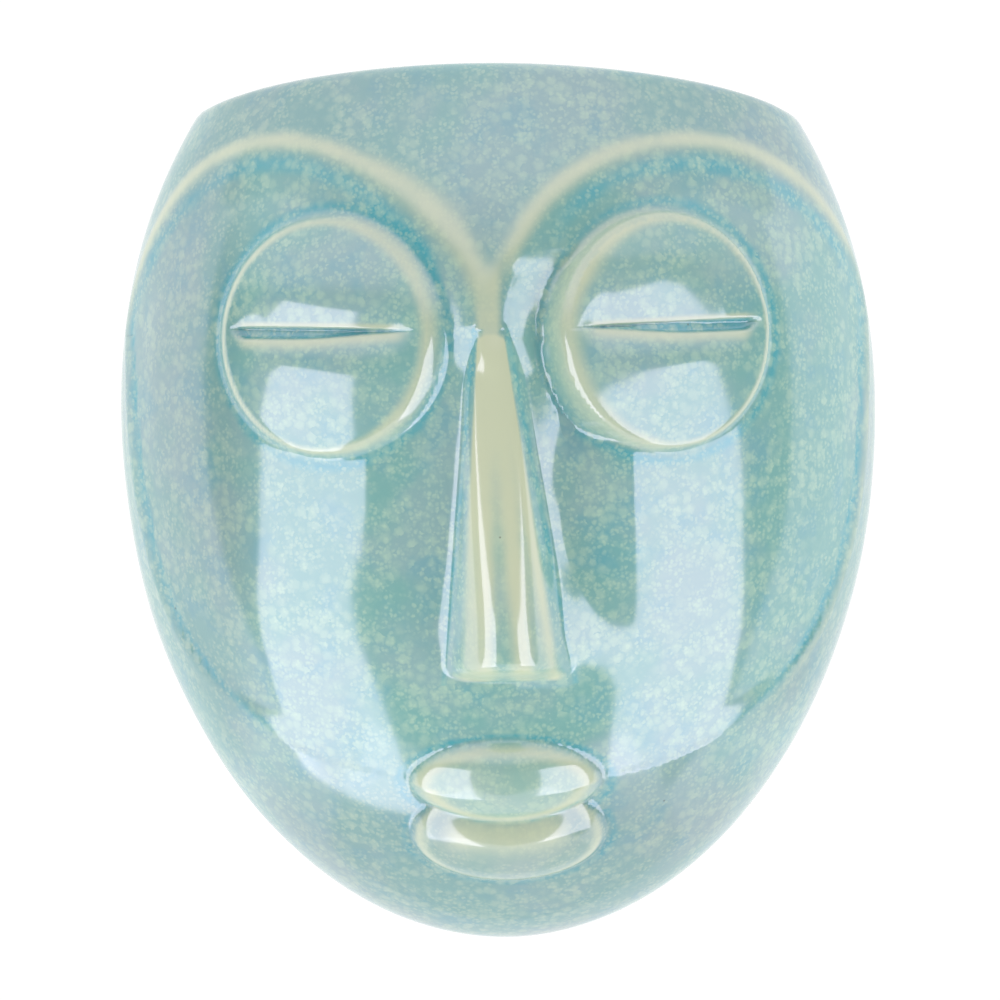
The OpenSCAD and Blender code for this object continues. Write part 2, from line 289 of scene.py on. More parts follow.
# Painted highlight: paler cream on the middle of the lower lip's top
LOWER_LIP_PAINTED_HIGHLIGHT = 0.45
LOWER_LIP_PAINTED_HIGHLIGHT_AT = (1.5, 3.0)
LOWER_LIP_PAINTED_HIGHLIGHT_X = (9.0, 15.0)
LOWER_LIP_RIM_CREAM = 0.35
LOWER_LIP_RIM_AT = (0.92, 0.07)
LIP_POOL = 0.8
LIP_PARTING_POOL_AT = (0.88, 0.05)
UPPER_LIP_POOL_AT = (1.1, 0.09)
LOWER_LIP_POOL = 0.6
LOWER_LIP_POOL_AT = (1.07, 0.06)
LOWER_LIP_POOL_RISE = 4.0
# Painted shade: taken off the upper lip, and darker glaze on the lower one
UPPER_LIP_UNSHADED = 0.9
LOWER_LIP_PAINTED_SHADE = 0.8


def ease(value, start, end):
    """0 before start and 1 after end, smoothly between."""
    t = np.clip((value - start) / (end - start), 0, 1)
    return t * t * (3 - 2 * t)


def bell(value, place, width):
    """1 where the value is at the place, and almost 0 from two widths away."""
    return np.exp(-(((value - place) / width) ** 2))


def spot(x, h, place, spread):
    """A bell in both directions of the front."""
    return bell(np.hypot((x - place[0]) / spread[0], (h - place[1]) / spread[1]), 0, 1.0)


def soft_max(a, b, blend):
    share = np.clip(0.5 + 0.5 * (a - b) / blend, 0, 1)
    return b + (a - b) * share + blend * share * (1 - share)


def soft_min(a, b, blend):
    return -soft_max(-a, -b, blend)


def unit(v):
    return v / np.maximum(np.linalg.norm(v, axis=-1, keepdims=True), 1e-12)


def outline_semi(h):
    return np.where(h >= 0, CROWN_RISE, CHIN_DROP)


def narrowing(h, inset=0.0):
    """Share of the widest section that is left at height h."""
    return np.sqrt(np.clip(1 - (h / (outline_semi(h) - inset)) ** 2, 0, 1))


def girth_y(h):
    return BACK_Y - GIRTH_DEPTH - LEAN * h


def face_bulge(x, h):
    return np.sqrt(np.clip(narrowing(h) ** 2 - (x / HALF_W) ** 2, 0, 1))


def skin(x, h):
    return np.stack([x, girth_y(h) - FACE_SWELL * face_bulge(x, h), GIRTH_Z + h + 0 * x], -1)


def skin_normal(x, h):
    forward = face_bulge(x, h) / FACE_SWELL
    return unit(np.stack([x / HALF_W**2, -forward, h / outline_semi(h) ** 2 - LEAN * forward], -1))


def brow_radius(turn, side):
    sag = BROW_SAG[side] * np.cos(3 * (turn - BROW_SAG_TURN))
    return BROW_R[side] + sag + BROW_SPREAD[side] * ease(turn, *BROW_SPREAD_TURN)


def heart_edge(side):
    """Points along one half of the edge of the sunk face, on the skin."""
    cx, ch = BROW_CENTRE[side]
    turn = np.radians(np.linspace(0, 180, BROW_POINTS))
    r = brow_radius(turn, side)
    brow = skin(side * (cx - r * np.cos(turn)), ch + r * np.sin(turn))
    turn = np.radians(np.linspace(0, JAW_END_DEGREES, JAW_POINTS))
    jaw_x = JAW_HALF_W * np.cos(turn) ** (2 / JAW_POWER)
    jaw_h = JAW_CENTRE_H - JAW_DROP * np.sin(turn) ** (2 / JAW_POWER)
    return np.concatenate([brow, skin(side * jaw_x, jaw_h)])


def inside_heart(x, h):
    inside = np.zeros(x.shape, bool)
    for side in (-1, 1):
        cx, ch = BROW_CENTRE[side]
        turn = np.arctan2(h - ch, cx - side * x)
        brow = np.hypot(side * x - cx, h - ch) < brow_radius(turn, side)
        inside |= (side * x >= -BROW_PAST_MIDDLE) & (h >= ch) & brow
        jaw = (np.abs(x) / JAW_HALF_W) ** JAW_POWER
        jaw = jaw + (np.maximum(JAW_CENTRE_H - h, 0) / JAW_DROP) ** JAW_POWER
        under_brow = (side * x > cx - brow_radius(0.0, side)) & (h < ch)
        inside |= (jaw < 1) & (under_brow | (h < BROW_END_H))
    return inside


def depth_in_heart(p, x, h):
    """Distance from the edge of the sunk face, above 0 inside it."""
    halves = []
    for side in (-1, 1):
        edge = heart_edge(side)
        tree = kdtree.KDTree(len(edge))
        for i, point in enumerate(edge):
            tree.insert(point, i)
        tree.balance()
        away = np.array([tree.find(point)[2] for point in p.reshape(-1, 3)])
        halves.append(away.reshape(x.shape))
    away = soft_min(*halves, BROW_MEETING)
    return np.where(inside_heart(x, h), away, -away)


def nose_share(h):
    return np.clip((NOSE_TOP_H - h) / (NOSE_TOP_H - NOSE_END_H), 0, 1)


def nose_axis_x(h):
    middle = (NOSE_TOP_H + NOSE_END_H) / 2
    return (middle - np.clip(h, NOSE_END_H, NOSE_TOP_H)) * NOSE_TURN


def nose_half_w(h):
    return NOSE_TOP_HALF_W + (NOSE_END_HALF_W - NOSE_TOP_HALF_W) * nose_share(h)


def hollow(x, h):
    """Depth of the hollows between the bridge of the nose and the eyes."""
    deep = np.zeros(x.shape)
    start_blend, end_blend = HOLLOW_BLEND
    for side in (-1, 1):
        cx, ch = BROW_CENTRE[side]
        top_h = HOLLOW_TOP_H[side]
        beside = cx - HOLLOW_FROM[side] - np.hypot(side * x - cx, np.maximum(h - ch, 0))
        nose_edge = side * nose_axis_x(h) + nose_half_w(h)
        off_nose = HOLLOW_OFF_NOSE * ease(-h, *HOLLOW_OFF_NOSE_DROP)
        beside = beside - off_nose * np.maximum(nose_edge - HOLLOW_FROM[side], 0)
        along = np.clip((top_h - h) / (top_h - HOLLOW_FULL_H), 0, 1) * ease(h, *HOLLOW_FADE)
        along = along * (1 - ease(h, *HOLLOW_CAP_H[side])) * (1 - ease(side * x, *HOLLOW_END_X))
        full = HOLLOW_LOW_REACH + (1 - HOLLOW_LOW_REACH) * ease(h, HOLLOW_LOW_H, HOLLOW_FULL_H)
        reach = HOLLOW_REACH[side] * full + HOLLOW_WIDER[side] * bell(h, *HOLLOW_WIDER_AT)
        fall = soft_min(soft_max(beside, np.zeros(x.shape), start_blend), reach, end_blend)
        deep += np.where(side * x > -HOLLOW_PAST_MIDDLE, HOLLOW_SLOPE[side] * along * fall, 0)
    return deep


def cheeks(x, h):
    swell = np.where(x < 0, CHEEK_SWELL[-1], CHEEK_SWELL[1])
    return swell * bell(np.hypot(np.abs(x) - CHEEK_PLACE[0], h - CHEEK_PLACE[1]), 0, CHEEK_SPREAD)


def hand_wave(x, h):
    """The slight unevenness of a surface that was smoothed by hand."""
    x_step, h_step, wide_x_step, wide_h_step = HAND_WAVE_STEPS
    x_start, h_start = HAND_WAVE_STARTS
    fine = np.sin(x / x_step + x_start) * np.sin(h / h_step + h_start)
    return HAND_WAVE * (fine + np.sin(x / wide_x_step - h / wide_h_step))


def sink_brows(p, n, x, h):
    """Sink the face, and give back the depth in from its edge and the shares of brow and jaw there."""
    s = depth_in_heart(p, x, h)
    fade = ease(h, *STEP_FADE)
    brow = np.maximum(ease(h, *BROW_FROM_H), 1 - ease(np.abs(x), *BROW_INNER_X)) * fade
    jaw = (1 - brow) * fade
    bridge = (1 - ease(np.abs(x - nose_axis_x(h)), *BRIDGE_HALF_W)) * ease(h, *BRIDGE_FOOT_H)
    bridge = bridge * (1 - ease(h, *BRIDGE_TOP_H))
    s = s * (1 - bridge) - BRIDGE_OUT * bridge
    step = SIDE_STEP + (BROW_STEP - SIDE_STEP) * brow
    out = BROW_RIDGE * brow * bell(s, *BROW_RIDGE_AT) - FACE_SINK * fade * ease(s, STEP_FROM, step)
    out = out - hollow(x, h) + cheeks(x, h)
    relief = JAW_RIDGE * bell(s, *JAW_RIDGE_AT) - JAW_GROOVE * bell(s, *JAW_GROOVE_AT)
    out = out + jaw * ease(h, *JAW_RELIEF_H) * relief + hand_wave(x, h)
    p += n * out[..., None]
    return s, brow, jaw


def glaze_brows(x, h, edge, thin_and_painted_light, pool, painted_shade):
    s, brow, jaw = edge
    widest, less = BROW_CREAM_INNER_W
    inner = (widest - less * ease(x, *BROW_CREAM_RIGHT_X)) * (1 - ease(np.abs(x), *BROW_CREAM_INNER_X))
    cream_w = BROW_CREAM_W + BROW_CREAM_HIGH_W * ease(h, *BROW_CREAM_HIGH_H) + inner
    ending = ease(x, *BROW_END_X) * (1 - ease(h, *BROW_END_FADE_H))
    out, out_share = BROW_CREAM_OUT
    cream = bell(s + out + out_share * cream_w, 0, cream_w)
    thin_and_painted_light += (BROW_CREAM - BROW_END_LOSS * ending) * brow * cream
    thin_and_painted_light += np.where(x > 0, JAW_CREAM[1], JAW_CREAM[-1]) * jaw * bell(s, *JAW_CREAM_AT)
    pool += BROW_POOL * brow * ease(np.abs(x), *BROW_POOL_X) * bell(s, *BROW_POOL_AT)
    pool += JAW_POOL * jaw * bell(s, *JAW_POOL_AT)
    for strength, place, spread in POOL_SPOTS:
        pool += strength * spot(x, h, place, spread)
    # Painted shade outside the face: darker glaze at the sides, chin and left side, less towards the
    # outline, none on the forehead
    outside = (1 - ease(s, *PAINTED_SHADE_OUTSIDE)) * ease(h, *PAINTED_SHADE_SIDE_H)
    outside = np.maximum(outside, 1 - ease(h, *PAINTED_SHADE_CHIN_H))
    outside = np.maximum(outside, PAINTED_SHADE_LEFT * ease(-x, *PAINTED_SHADE_LEFT_X))
    brink = ease(np.abs(x) / np.maximum(HALF_W * narrowing(h), 1), *PAINTED_SHADE_EDGE_SHARE)
    painted_shade += outside * (1 - spot(x, h, *UNSHADED_FOREHEAD)) * (1 - (1 - PAINTED_SHADE_AT_EDGE) * brink)


def raise_eye(p, side, thin_and_painted_light, pool):
    at_x, at_h = np.array([side * EYE_X]), np.array([EYE_H])
    out = skin_normal(at_x, at_h)[0]
    across = unit(np.cross([0, 0, 1], out))
    up = np.cross(out, across)
    centre = skin(at_x, at_h)[0] - FACE_SINK * out
    offset = p - centre
    u, v, w = offset @ across, offset @ up, offset @ out
    inward = -side * u
    r = np.hypot(u / EYE_STRETCH[0], v / EYE_STRETCH[1])
    top = EYE_DOME[side] * (1 - (r / EYE_R) ** 2) + EYE_TILT[side] * inward
    wall = EYE_TILT[side] * inward - EYE_WALL_SLOPE[side] * (r - EYE_R)
    top = soft_min(top, wall, EYE_EDGE_ROUND[side])

    slit_v = v - SLIT_V + inward * SLIT_FALL
    along = ease(inward, *SLIT_OUTER_END) * (1 - ease(inward, *SLIT_INNER_END))
    high = SLIT_H * ease(inward, *SLIT_RISE) * (1 - SLIT_TAPER * ease(inward, *SLIT_TAPER_RUN))
    low = SLIT_TOP - high
    below, above = SLIT_LOWER_EDGE
    groove = ease(slit_v, low + below, low + above) * (1 - ease(slit_v, *SLIT_UPPER_EDGE)) * along
    meeting = 1 - ease(np.abs(u), *LID_MEETING)
    upper = np.clip(1 - slit_v / UPPER_LID_REACH[side], 0, 1) ** UPPER_LID_CURVE[side]
    upper = UPPER_LID_FALL[side] * upper * (1 - UPPER_LID_FADE[side] * ease(-inward, *UPPER_LID_FADE_RUN))
    lower = LOWER_LID_FALL * np.clip(1 + slit_v / LOWER_LID_REACH, 0, 1) ** 2
    top = top - meeting * np.where(slit_v > 0, upper, lower)
    top = top - SLIT_DEPTH * groove * np.clip(high / SLIT_FULL_H, SLIT_LEAST, 1)
    lifted = soft_max(w, top, EYE_FILLET[side])
    p += out * (lifted - w)[..., None]

    near = r < EYE_R + EYE_NEAR
    disc = r < EYE_R - EYE_DISC_INSET
    ring_w = RIM_CREAM_W + RIM_CREAM_INNER_W[side] * ease(inward / EYE_R, *RIM_CREAM_INNER)
    ring_w = ring_w + RIM_CREAM_UPPER_W * ease(v / EYE_R, *RIM_CREAM_UPPER)
    thin_and_painted_light += np.where(near, RIM_CREAM * bell(r - EYE_R, -RIM_CREAM_IN, ring_w), 0)
    from_slit, lid_w = LOWER_LID_CREAM_AT
    lids = bell(np.maximum(low - from_slit - slit_v, 0), 0, lid_w) * (slit_v < low)
    lids = lids + bell(slit_v, *UPPER_LID_CREAM_AT)
    # Painted sheen: the upper part of the right eye made paler
    painted_sheen = EYE_PAINTED_SHEEN[side] * ease(v, *EYE_PAINTED_SHEEN_V)
    thin_and_painted_light += np.where(disc, LID_CREAM * along * lids * (1 - groove) + painted_sheen, 0)
    pool += np.where(near, RIM_POOL * bell(r - EYE_R, *RIM_POOL_AT), 0)
    pool += np.where(disc, SLIT_POOL * groove, 0)


def raise_nose(p, x, h):
    q = (x - nose_axis_x(h)) / nose_half_w(h)
    share = nose_share(h)
    far_h = np.where(h > NOSE_CREST_H, NOSE_TOP_H, NOSE_END_H)
    far_y = np.where(h > NOSE_CREST_H, NOSE_TOP_Y, NOSE_END_Y)
    front_y = NOSE_CREST_Y + (far_y - NOSE_CREST_Y) * ((h - NOSE_CREST_H) / (far_h - NOSE_CREST_H)) ** 2
    floor_y = skin(nose_axis_x(h), h)[..., 1] + FACE_SINK * ease(h, *STEP_FADE)
    stand = np.maximum(floor_y - front_y, NOSE_LEAST_STAND)
    foot = np.clip((NOSE_FOOT_H - h) / (NOSE_FOOT_H - NOSE_END_H), 0, NOSE_FOOT_MOST)
    tip = np.clip((h - NOSE_TIP_H[0]) / (NOSE_TIP_H[1] - NOSE_TIP_H[0]), 0, NOSE_TIP_MOST)
    square, end_square = NOSE_SQUARENESS
    square = square + (end_square - square) * ease(share, *NOSE_SQUARE_RUN)
    reach = np.abs(q) ** square + foot**NOSE_FOOT_POWER + tip**NOSE_TIP_POWER
    nose_y = front_y + NOSE_ROUND * q**2 + stand * reach

    below, above = NOSE_FLARE_FOOT
    length = ease(h, NOSE_END_H + below, NOSE_END_H + above) * (1 - ease(h, *NOSE_FLARE_TOP_H))
    low = ease(-h, *NOSE_FLARE_LOW_DROP)
    for side, ((lift, spread), (end_lift, end_spread)) in NOSE_FLARE.items():
        beside = np.maximum(nose_half_w(h) * (side * q - NOSE_FLARE_FROM), 0)
        fall = np.clip(1 - beside / (spread + (end_spread - spread) * low), 0, 1)
        flare = (lift + (end_lift - lift) * low) * fall**2
        p[..., 1] -= np.where(side * q > 0, flare * length, 0)
    blend, end_blend = NOSE_FILLET
    p[..., 1] = soft_min(p[..., 1], np.minimum(nose_y, 0), blend + (end_blend - blend) * share)


def glaze_nose(x, h, thin_and_painted_light, pool):
    q = (x - nose_axis_x(h)) / nose_half_w(h)
    below, above = NOSE_CREAM_FOOT
    front = (1 - ease(np.abs(q), *NOSE_CREAM_Q)) * ease(h, NOSE_END_H + below, NOSE_END_H + above)
    below, above = NOSE_CREAM_TIP
    front = front * (1 - ease(h, NOSE_TOP_H + below, NOSE_TOP_H + above))
    runs = ease(-h, *NOSE_RUNS_DROP) * (0.5 + 0.5 * np.cos(NOSE_RUNS_TURN * q + NOSE_RUNS_START))
    cream = NOSE_CREAM - NOSE_RUNS * runs - NOSE_LOW_LOSS * ease(-h, *NOSE_LOW_DROP)
    cream = cream + NOSE_EDGE_CREAM * bell(np.abs(q), *NOSE_EDGE_CREAM_AT)
    thin_and_painted_light += front * cream
    thin_and_painted_light += NOSE_END_CREAM * bell(h - NOSE_END_H, *NOSE_END_CREAM_AT) * (np.abs(q) < NOSE_CREAM_Q[1])
    end_past, top_past = NOSE_SIDE_POOL_PAST
    body = (h < NOSE_TOP_H + top_past) & (h > NOSE_END_H - end_past)
    side_w = nose_half_w(h) * (np.abs(q) - NOSE_SIDE_POOL_Q)
    pool += np.where(body, NOSE_SIDE_POOL * bell(side_w, 0, NOSE_SIDE_POOL_W), 0)
    start, end = NOSE_END_POOL_DROP
    under = ease(-h, start - NOSE_END_H, end - NOSE_END_H) * (1 - ease(-h, *NOSE_END_POOL_FADE))
    pool += NOSE_END_POOL * under * (1 - ease(np.abs(q), *NOSE_END_POOL_Q))


def lip_dome(x, h, lip):
    """Distance from a lip's middle, 1 at its edge, and the height of its dome."""
    cx, ch, half_w, half_h = lip
    rho = np.hypot((x - cx) / half_w, (h - ch) / half_h)
    full = LIP_STAND + LIP_ROOT
    sideways = np.hypot((x - cx) / half_w, LIP_PEAK_ROUND) - LIP_PEAK_ROUND
    peak = 1 - LIP_PEAK * sideways * np.clip(1 - rho, 0, 1) ** 0.5
    dome = np.sqrt(np.clip(1 - rho**2 * (1 - (LIP_ROOT / full) ** 2), 0, 1))
    return rho, full * peak * dome - LIP_ROOT


def raise_lips(p, x, h, thin_and_painted_light, pool, painted_shade):
    out = skin_normal(np.array([0.0]), np.array([LIP_NORMAL_H]))[0]
    upper_rho, upper = lip_dome(x, h, UPPER_LIP)
    lower_rho, lower = lip_dome(x, h, LOWER_LIP)
    below = h < UPPER_LIP[1]
    parting = np.where(below, ease(upper_rho, *LIP_PARTING_RUN), 0)
    lower = np.maximum(lower, -LIP_ROOT) * (LIP_PARTING + (1 - LIP_PARTING) * parting)
    lift = soft_max(np.zeros_like(x), lower, LIP_FILLET)
    lift = soft_max(lift, np.maximum(upper, -LIP_ROOT), LIP_OVERLAP)
    p += out * lift[..., None]

    lower_in = (1 - ease(lower_rho, *LIP_EDGE)) * np.where(below, ease(upper_rho, *LIP_UNDER), 0)
    upper_in = (1 - ease(upper_rho, *LIP_EDGE)) * (1 - lower_in)
    # Painted highlight: paler cream on the middle of the lower lip's top
    middle = bell(h - LOWER_LIP[1], *LOWER_LIP_PAINTED_HIGHLIGHT_AT) * (1 - ease(np.abs(x), *LOWER_LIP_PAINTED_HIGHLIGHT_X))
    rim_rho = np.where(below, *UPPER_LIP_RIM_RHO)
    thin_and_painted_light += UPPER_LIP_CREAM * upper_in
    thin_and_painted_light += UPPER_LIP_RIM_CREAM * bell(upper_rho, rim_rho, UPPER_LIP_RIM_W) * (1 - lower_in)
    thin_and_painted_light += lower_in * (LOWER_LIP_CREAM + LOWER_LIP_PAINTED_HIGHLIGHT * middle)
    thin_and_painted_light += LOWER_LIP_RIM_CREAM * bell(lower_rho, *LOWER_LIP_RIM_AT) * lower_in
    pool += LIP_POOL * np.where(below, bell(upper_rho, *LIP_PARTING_POOL_AT) * (lower_rho < 1), 0)
    pool += LIP_POOL * bell(upper_rho, *UPPER_LIP_POOL_AT) * (1 - lower_in)
    pool += LOWER_LIP_POOL * bell(lower_rho, *LOWER_LIP_POOL_AT) * (h < LOWER_LIP[1] + LOWER_LIP_POOL_RISE)
    # Painted shade: taken off the upper lip, and darker glaze on the lower one
    painted_shade *= 1 - UPPER_LIP_UNSHADED * upper_in
    painted_shade += LOWER_LIP_PAINTED_SHADE * lower_in


def sculpt(x, h):
    """The glazed front at x and h: its points, how thin and how pooled the glaze is there, the painted
    highlights that go with the thin glaze, and the painted shade.
    """
    p = skin(x, h)
    thin_and_painted_light = np.zeros(x.shape)
    pool = np.zeros(x.shape)
    painted_shade = np.zeros(x.shape)
    edge = sink_brows(p, skin_normal(x, h), x, h)
    glaze_brows(x, h, edge, thin_and_painted_light, pool, painted_shade)
    for side in (-1, 1):
        raise_eye(p, side, thin_and_painted_light, pool)
    raise_nose(p, x, h)
    glaze_nose(x, h, thin_and_painted_light, pool)
    raise_lips(p, x, h, thin_and_painted_light, pool, painted_shade)
    return p, np.clip(thin_and_painted_light, 0, 1), np.clip(pool, 0, 1), np.clip(painted_shade, 0, 1)


# Lines of the pot's mesh: rings from the chin up to the rim, over its lip and down inside, and
# columns from the middle of the back round the face, gathered where the face has detail
CHIN_RINGS = 14
CHIN_TOP_H = -100.0
RING_STRETCHES = ((-66.0, 0.62), (-60.0, 0.9), (-54.5, 0.36), (-12.0, 0.95),
                  (11.5, 0.66), (18.0, 0.3), (40.0, 0.66))
RIM_GAP = 0.8
RIM_BEND_H = 30.0
RIM_TRIES = 60
LIP_RINGS = 8
LIP_HANDLE = 2 / 3
INNER_RINGS = 26
BACK_COLUMNS = 34
NOSE_FRONT_COLUMNS = 9
NOSE_WALL_COLUMNS = 13
CHEEK_COLUMNS = 72
SIDE_COLUMNS = 24
NOSE_FRONT_SHARE = 0.72
NOSE_WALL_REACH = 2.5
CHEEK_END_TURN = math.radians(52)
FACE_END_TURN = math.pi / 2 + 1e-9


def ring_heights():
    chin = -CHIN_DROP * np.cos(np.linspace(0, math.acos(-CHIN_TOP_H / CHIN_DROP), CHIN_RINGS + 1))
    rings = list(chin)
    for end, gap in RING_STRETCHES + ((RIM_CREST - LIP_ROUND, RIM_GAP),):
        count = max(1, round((end - rings[-1]) / gap))
        rings.extend(np.linspace(rings[-1], end, count + 1)[1:])
    return np.array(rings)


def column_turns(h):
    """Turns round the pot at ring height h, from the middle of the back, by the face, to it again."""
    at = np.clip(h, NOSE_END_H, NOSE_TOP_H)
    half = float(HALF_W * narrowing(at))
    axis = float(nose_axis_x(at))
    front = float(nose_half_w(at)) * NOSE_FRONT_SHARE
    foot = float(nose_half_w(at)) + NOSE_WALL_REACH
    counts = (NOSE_FRONT_COLUMNS, NOSE_WALL_COLUMNS, CHEEK_COLUMNS, SIDE_COLUMNS, BACK_COLUMNS)
    halves = []
    for side in (-1, 1):
        on_nose = [math.asin(x / half) for x in (axis, axis + side * front, axis + side * foot)]
        marks = on_nose + [side * CHEEK_END_TURN, side * math.pi / 2, side * math.pi]
        turns = marks[:1]
        for start, end, count in zip(marks, marks[1:], counts):
            turns.extend(np.linspace(start, end, count + 1)[1:])
        halves.append(turns)
    return np.array(halves[0][::-1] + halves[1][1:])


def rim_arch(x):
    return RIM_CREST - RIM_FALL * (1 - np.sqrt(np.clip(1 - (x / RIM_HALF_W) ** 2, 0, 1))) - RIM_TILT * x


def rim_height(turns):
    """Height at which each column meets the arch of the rim."""
    h = np.full(turns.shape, RIM_CREST - RIM_FALL)
    for _ in range(RIM_TRIES):
        h = 0.5 * (h + rim_arch(HALF_W * narrowing(h) * np.sin(turns)))
    return h


def past_back(x, h):
    """How far the egg, if it weren't cut flat, would stand out behind the back."""
    return girth_y(h) + BACK_SWELL * face_bulge(x, h) - BACK_Y


def back_half(h, turns, inset, flat_y):
    share = narrowing(h, inset)
    x = (HALF_W - inset) * share * np.sin(turns)
    y = girth_y(h) + (BACK_SWELL - inset) * share * np.abs(np.cos(turns))
    return np.stack([x, soft_min(y, np.full_like(y, flat_y), BACK_EDGE), GIRTH_Z + h], -1)


def inner_half(h, turns):
    share = narrowing(h, WALL)
    x = (HALF_W - WALL) * share * np.sin(turns)
    return np.stack([x, girth_y(h) - (FACE_SWELL - WALL) * share * np.cos(turns), GIRTH_Z + h], -1)


def pot_points():
    """Rings of points over the whole pot, with the thinness and pooling of the glaze at each, the painted
    highlights that go with the thinness, and the painted shade.
    """
    heights = ring_heights()
    turns = np.array([column_turns(h) for h in heights])
    top = rim_height(turns[-1]) - LIP_ROUND
    rise = np.clip((heights - RIM_BEND_H) / (heights[-1] - RIM_BEND_H), 0, 1)[:, None]
    h = np.where(rise > 0, RIM_BEND_H + rise * (top[None, :] - RIM_BEND_H), heights[:, None])
    face = np.abs(turns) <= FACE_END_TURN
    x = HALF_W * narrowing(h) * np.sin(turns)
    front, thin_and_painted_light, pool, painted_shade = sculpt(np.where(face, x, 0), h)
    outer = np.where(face[..., None], front, back_half(h, turns, 0.0, BACK_Y))
    thin_and_painted_light, pool, painted_shade = thin_and_painted_light * face, pool * face, np.where(face, painted_shade, PAINTED_SHADE_AT_EDGE)

    round_turns = turns[-1]
    inner_bottom = -(CHIN_DROP - WALL)
    sweep = np.linspace(0, 1, INNER_RINGS + 1)[:, None]
    inner_h = inner_bottom + (top[None, :] - inner_bottom) * np.cos(sweep * math.pi / 2)
    inner_turns = np.broadcast_to(round_turns, inner_h.shape)
    inner_face = np.abs(inner_turns) <= FACE_END_TURN
    inner = np.where(inner_face[..., None], inner_half(inner_h, inner_turns),
                     back_half(inner_h, inner_turns, WALL, BACK_Y - BACK_WALL))

    over, under = outer[-1], inner[0]
    reach = LIP_HANDLE * np.linalg.norm(over - under, axis=-1, keepdims=True) * LIP_ROUND / (WALL / 2)
    out_handle = over + reach * unit(outer[-1] - outer[-2])
    in_handle = under + reach * unit(inner[0] - inner[1])
    lip = []
    for t in np.linspace(0, 1, LIP_RINGS + 1)[1:-1]:
        lip.append((1 - t) ** 3 * over + 3 * (1 - t) ** 2 * t * out_handle
                   + 3 * (1 - t) * t**2 * in_handle + t**3 * under)
    points = np.concatenate([outer, np.array(lip), inner])
    extra = len(points) - len(outer)
    blank = np.zeros((extra, points.shape[1]))
    thin_and_painted_light, pool = (np.concatenate([values, blank]) for values in (thin_and_painted_light, pool))
    return points, thin_and_painted_light, pool, np.concatenate([painted_shade, np.repeat(painted_shade[-1:], extra, axis=0)])


# Sizes below which points and slivers merge, the widest hole that is closed, and the turn of a sharp edge
MERGE = 0.002
SLIVER = 0.01
HOLE_SIDES = 4
SHARP_TURN = math.radians(35)
CUT_PAST = 1.0


def new_piece(name):
    piece = bpy.context.object
    piece.name = name
    piece.data.name = name
    return piece


def grid_piece(name, points):
    """A grid primitive whose lines are drawn onto rings of points."""
    rings, columns = points.shape[:2]
    bpy.ops.mesh.primitive_grid_add(x_subdivisions=columns - 1, y_subdivisions=rings - 1, size=1)
    piece = new_piece(name)
    piece.data.vertices.foreach_set("co", (points * MM).astype(np.float32).ravel())
    piece.data.update()
    return piece


def add_value(piece, name, values):
    attribute = piece.data.attributes.new(name, "FLOAT", "POINT")
    attribute.data.foreach_set("value", values.astype(np.float32).ravel())


def edit(piece):
    """Open a piece for editing with all of it selected."""
    bpy.ops.object.select_all(action="DESELECT")
    bpy.context.view_layer.objects.active = piece
    piece.select_set(True)
    bpy.ops.object.mode_set(mode="EDIT")
    bpy.ops.mesh.select_all(action="SELECT")


def close_mesh(piece):
    edit(piece)
    bpy.ops.mesh.remove_doubles(threshold=MERGE * MM)
    bpy.ops.mesh.normals_make_consistent(inside=False)
    bpy.ops.object.mode_set(mode="OBJECT")
    bpy.ops.object.shade_smooth()


def apply_all(piece):
    bpy.context.view_layer.objects.active = piece
    for modifier in list(piece.modifiers):
        bpy.ops.object.modifier_apply(modifier=modifier.name)


def cut(piece, cutter):
    modifier = piece.modifiers.new("cut", "BOOLEAN")
    modifier.operation = "DIFFERENCE"
    modifier.solver = "EXACT"
    modifier.object = cutter
    apply_all(piece)
    bpy.data.objects.remove(cutter)


def mend_cuts(piece):
    """Merge the sliver faces that cutting leaves, and close a face that it leaves out."""
    edit(piece)
    bpy.ops.mesh.remove_doubles(threshold=SLIVER * MM)
    bpy.ops.mesh.dissolve_degenerate(threshold=SLIVER * MM)
    bpy.ops.mesh.select_all(action="SELECT")
    bpy.ops.mesh.fill_holes(sides=HOLE_SIDES)
    bpy.ops.mesh.select_all(action="SELECT")
    bpy.ops.mesh.normals_make_consistent(inside=False)
    bpy.ops.object.mode_set(mode="OBJECT")


def turned(name, profile, sides):
    """A piece turned on the screw's axis from rings of (radius, y), from one end to the other."""
    first_r, first_y = profile[0]
    bpy.ops.object.select_all(action="DESELECT")
    bpy.ops.mesh.primitive_circle_add(vertices=sides, radius=first_r * MM, fill_type="NGON",
                                      location=(0, first_y * MM, 0), rotation=(math.radians(90), 0, 0))
    piece = new_piece(name)
    bpy.ops.object.transform_apply(location=True, rotation=True, scale=True)
    edit(piece)
    for (r, y), (next_r, next_y) in zip(profile, profile[1:]):
        bpy.ops.mesh.extrude_region_move(TRANSFORM_OT_translate={"value": (0, (next_y - y) * MM, 0)})
        bpy.ops.transform.resize(value=(next_r / r, 1, next_r / r), center_override=(0, next_y * MM, 0))
    bpy.ops.object.mode_set(mode="OBJECT")
    close_mesh(piece)
    return piece


def block(low, high):
    """A block between two corners, for cutting."""
    bpy.ops.object.select_all(action="DESELECT")
    middle = [(a + b) / 2 * MM for a, b in zip(low, high)]
    size = [(b - a) * MM for a, b in zip(low, high)]
    bpy.ops.mesh.primitive_cube_add(size=1, location=middle, scale=size)
    piece = new_piece("cutter")
    bpy.ops.object.transform_apply(location=True, rotation=True, scale=True)
    return piece


def shift(piece, x, z):
    piece.data.transform(Matrix.Translation((x * MM, 0, z * MM)))
    return piece


